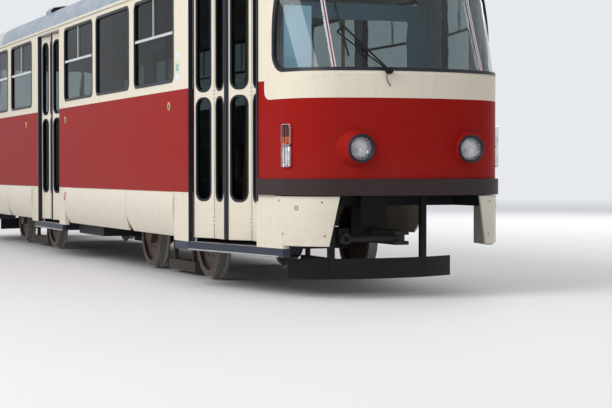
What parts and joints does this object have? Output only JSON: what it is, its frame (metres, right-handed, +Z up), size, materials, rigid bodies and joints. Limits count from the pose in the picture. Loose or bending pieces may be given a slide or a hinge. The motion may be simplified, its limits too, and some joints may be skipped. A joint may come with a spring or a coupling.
{
  "type": "four-axle bogie tram car",
  "caption": "Single-ended bogie tram car with folding doors on its right side, turning bogies, folding couplers and a roof pantograph.",
  "frame": {"origin": "midway between the bogies, on the plane under the wheel flanges", "axes": "+X forward, +Y to the left, +Z up"},
  "size_m": [13.9998, 2.5318, 3.5394],
  "materials": {
    "body_paint": "gloss enamel, cream over a red band",
    "roof_paint": "satin enamel",
    "skirt_paint": "gloss enamel",
    "door_paint": "gloss enamel with black rubber edges",
    "window_glass": "clear",
    "window_rubber": "black rubber",
    "bright_metal": "bright",
    "lamp_glass": "moulded lens",
    "frame_paint": "matt dark paint",
    "step_paint": "dark blue-grey paint, scuffed",
    "bumper_rubber": "brown-black rubber strip",
    "seat_shell": "moulded laminate",
    "rail_paint": "yellow enamel",
    "cab_paint": "pale blue enamel",
    "wiper_black": "satin black",
    "panto_steel": "red oxide enamel",
    "bogie_paint": "brake dust over dark paint",
    "motor_iron": "dusty",
    "wheel_steel": "rusty disc, bright tread"
  },
  "bodies": {
    "root": {"right_wall_front": "body_paint", "right_wall_rear": "body_paint", "left_wall": "body_paint", "roof": "roof_paint", "front_mask": "body_paint", "rear_mask": "body_paint", "end_glass": "window_glass", "side_glass": "window_glass", "window_frames": "window_rubber", "bright_trim": "bright_metal", "lamp_lenses": "lamp_glass", "lamp_rims": "window_rubber", "underframe": "frame_paint", "step_wells": "step_paint", "skirts": "skirt_paint", "bumpers": "bumper_rubber", "lifeguards": "frame_paint", "seats": "seat_shell", "handrails": "rail_paint", "cab_fittings": "cab_paint", "equipment_boxes": "frame_paint", "wiper": "wiper_black", "pantograph_base": "panto_steel"},
    "bogie_front": {"bogie_frame_front": "bogie_paint", "motors_front": "motor_iron"},
    "wheelset_1": {"wheelset_1": "wheel_steel"},
    "wheelset_2": {"wheelset_2": "wheel_steel"},
    "bogie_rear": {"bogie_frame_rear": "bogie_paint", "motors_rear": "motor_iron"},
    "wheelset_3": {"wheelset_3": "wheel_steel"},
    "wheelset_4": {"wheelset_4": "wheel_steel"},
    "door_front_rear_post": {"door_front_rear_post_leaf": "door_paint", "door_front_rear_post_glass": "window_glass"},
    "door_front_rear_inner": {"door_front_rear_inner_leaf": "door_paint", "door_front_rear_inner_glass": "window_glass"},
    "door_front_front_post": {"door_front_front_post_leaf": "door_paint", "door_front_front_post_glass": "window_glass"},
    "door_front_front_inner": {"door_front_front_inner_leaf": "door_paint", "door_front_front_inner_glass": "window_glass"},
    "door_middle_rear_post": {"door_middle_rear_post_leaf": "door_paint", "door_middle_rear_post_glass": "window_glass"},
    "door_middle_rear_inner": {"door_middle_rear_inner_leaf": "door_paint", "door_middle_rear_inner_glass": "window_glass"},
    "door_middle_front_post": {"door_middle_front_post_leaf": "door_paint", "door_middle_front_post_glass": "window_glass"},
    "door_middle_front_inner": {"door_middle_front_inner_leaf": "door_paint", "door_middle_front_inner_glass": "window_glass"},
    "door_rear_rear_post": {"door_rear_rear_post_leaf": "door_paint", "door_rear_rear_post_glass": "window_glass"},
    "door_rear_rear_inner": {"door_rear_rear_inner_leaf": "door_paint", "door_rear_rear_inner_glass": "window_glass"},
    "door_rear_front_post": {"door_rear_front_post_leaf": "door_paint", "door_rear_front_post_glass": "window_glass"},
    "door_rear_front_inner": {"door_rear_front_inner_leaf": "door_paint", "door_rear_front_inner_glass": "window_glass"},
    "coupler_front": {"coupler_front": "frame_paint"},
    "coupler_rear": {"coupler_rear": "frame_paint"},
    "pantograph_lower_arm": {"pantograph_lower_arm": "panto_steel"},
    "pantograph_upper_arm": {"pantograph_upper_arm": "panto_steel"},
    "pantograph_head": {"pantograph_head": "panto_steel"}
  },
  "joints": [
    {"name": "bogie_front_turn", "type": "hinge", "parent": "root", "child": "bogie_front", "pos_m": [3.2, 0, 0.5], "axis": [0, 0, 1], "range_deg": [-9, 9]},
    {"name": "wheelset_1_roll", "type": "hinge", "parent": "bogie_front", "child": "wheelset_1", "pos_m": [4.15, 0, 0.377], "axis": [0, 1, 0], "continuous": true},
    {"name": "wheelset_2_roll", "type": "hinge", "parent": "bogie_front", "child": "wheelset_2", "pos_m": [2.25, 0, 0.377], "axis": [0, 1, 0], "continuous": true},
    {"name": "bogie_rear_turn", "type": "hinge", "parent": "root", "child": "bogie_rear", "pos_m": [-3.2, 0, 0.5], "axis": [0, 0, 1], "range_deg": [-9, 9]},
    {"name": "wheelset_3_roll", "type": "hinge", "parent": "bogie_rear", "child": "wheelset_3", "pos_m": [-2.25, 0, 0.377], "axis": [0, 1, 0], "continuous": true},
    {"name": "wheelset_4_roll", "type": "hinge", "parent": "bogie_rear", "child": "wheelset_4", "pos_m": [-4.15, 0, 0.377], "axis": [0, 1, 0], "continuous": true},
    {"name": "door_front_rear_fold", "type": "hinge", "parent": "root", "child": "door_front_rear_post", "pos_m": [4.9522, -1.1741, 1.5], "axis": [0, 0, 1], "range_deg": [0, 67.2]},
    {"name": "door_front_rear_unfold", "type": "hinge", "parent": "door_front_rear_post", "child": "door_front_rear_inner", "pos_m": [5.22259, -1.09721, 1.5], "axis": [0, 0, 1], "range_deg": [-134.4, 0]},
    {"name": "door_front_front_fold", "type": "hinge", "parent": "root", "child": "door_front_front_post", "pos_m": [6.06166, -0.95442, 1.5], "axis": [0, 0, -1], "range_deg": [0, 60.5]},
    {"name": "door_front_front_unfold", "type": "hinge", "parent": "door_front_front_post", "child": "door_front_front_inner", "pos_m": [5.78056, -0.95357, 1.5], "axis": [0, 0, -1], "range_deg": [-121, 0]},
    {"name": "door_middle_rear_fold", "type": "hinge", "parent": "root", "child": "door_middle_rear_post", "pos_m": [-1.12, -1.175, 1.5], "axis": [0, 0, 1], "range_deg": [0, 69]},
    {"name": "door_middle_rear_unfold", "type": "hinge", "parent": "door_middle_rear_post", "child": "door_middle_rear_inner", "pos_m": [-0.83925, -1.16091, 1.5], "axis": [0, 0, 1], "range_deg": [-138, 0]},
    {"name": "door_middle_front_fold", "type": "hinge", "parent": "root", "child": "door_middle_front_post", "pos_m": [0.011, -1.175, 1.5], "axis": [0, 0, -1], "range_deg": [0, 66]},
    {"name": "door_middle_front_unfold", "type": "hinge", "parent": "door_middle_front_post", "child": "door_middle_front_inner", "pos_m": [-0.26863, -1.14623, 1.5], "axis": [0, 0, -1], "range_deg": [-132, 0]},
    {"name": "door_rear_rear_fold", "type": "hinge", "parent": "root", "child": "door_rear_rear_post", "pos_m": [-5.77719, -0.99712, 1.5], "axis": [0, 0, 1], "range_deg": [0, 69]},
    {"name": "door_rear_rear_unfold", "type": "hinge", "parent": "door_rear_rear_post", "child": "door_rear_rear_inner", "pos_m": [-5.4977, -1.02712, 1.5], "axis": [0, 0, 1], "range_deg": [-138, 0]},
    {"name": "door_rear_front_fold", "type": "hinge", "parent": "root", "child": "door_rear_front_post", "pos_m": [-4.66012, -1.17405, 1.5], "axis": [0, 0, -1], "range_deg": [0, 66]},
    {"name": "door_rear_front_unfold", "type": "hinge", "parent": "door_rear_front_post", "child": "door_rear_front_inner", "pos_m": [-4.93181, -1.10189, 1.5], "axis": [0, 0, -1], "range_deg": [-132, 0]},
    {"name": "coupler_front_swing", "type": "hinge", "parent": "root", "child": "coupler_front", "pos_m": [6.65, 0, 0.479], "axis": [0, 0, 1], "range_deg": [0, 90]},
    {"name": "coupler_rear_swing", "type": "hinge", "parent": "root", "child": "coupler_rear", "pos_m": [-6.65, 0, 0.479], "axis": [0, 0, -1], "range_deg": [0, 90]},
    {"name": "pantograph_raise", "type": "hinge", "parent": "root", "child": "pantograph_lower_arm", "pos_m": [2.7, 0, 3.327], "axis": [0, 1, 0], "range_deg": [0, 50]},
    {"name": "pantograph_knee", "type": "hinge", "parent": "pantograph_lower_arm", "child": "pantograph_upper_arm", "pos_m": [1.55158, 0, 3.38719], "axis": [0, 1, 0], "range_deg": [-100, 0]},
    {"name": "pantograph_level", "type": "hinge", "parent": "pantograph_upper_arm", "child": "pantograph_head", "pos_m": [2.7, 0, 3.44737], "axis": [0, 1, 0], "range_deg": [0, 50]}
  ],
  "couplings": [
    {"joint": "door_front_rear_unfold", "follows": "door_front_rear_fold", "ratio": -2},
    {"joint": "door_front_front_unfold", "follows": "door_front_front_fold", "ratio": -2},
    {"joint": "door_middle_rear_unfold", "follows": "door_middle_rear_fold", "ratio": -2},
    {"joint": "door_middle_front_unfold", "follows": "door_middle_front_fold", "ratio": -2},
    {"joint": "door_rear_rear_unfold", "follows": "door_rear_rear_fold", "ratio": -2},
    {"joint": "door_rear_front_unfold", "follows": "door_rear_front_fold", "ratio": -2},
    {"joint": "pantograph_knee", "follows": "pantograph_raise", "ratio": -2},
    {"joint": "pantograph_level", "follows": "pantograph_raise", "ratio": 1}
  ]
}
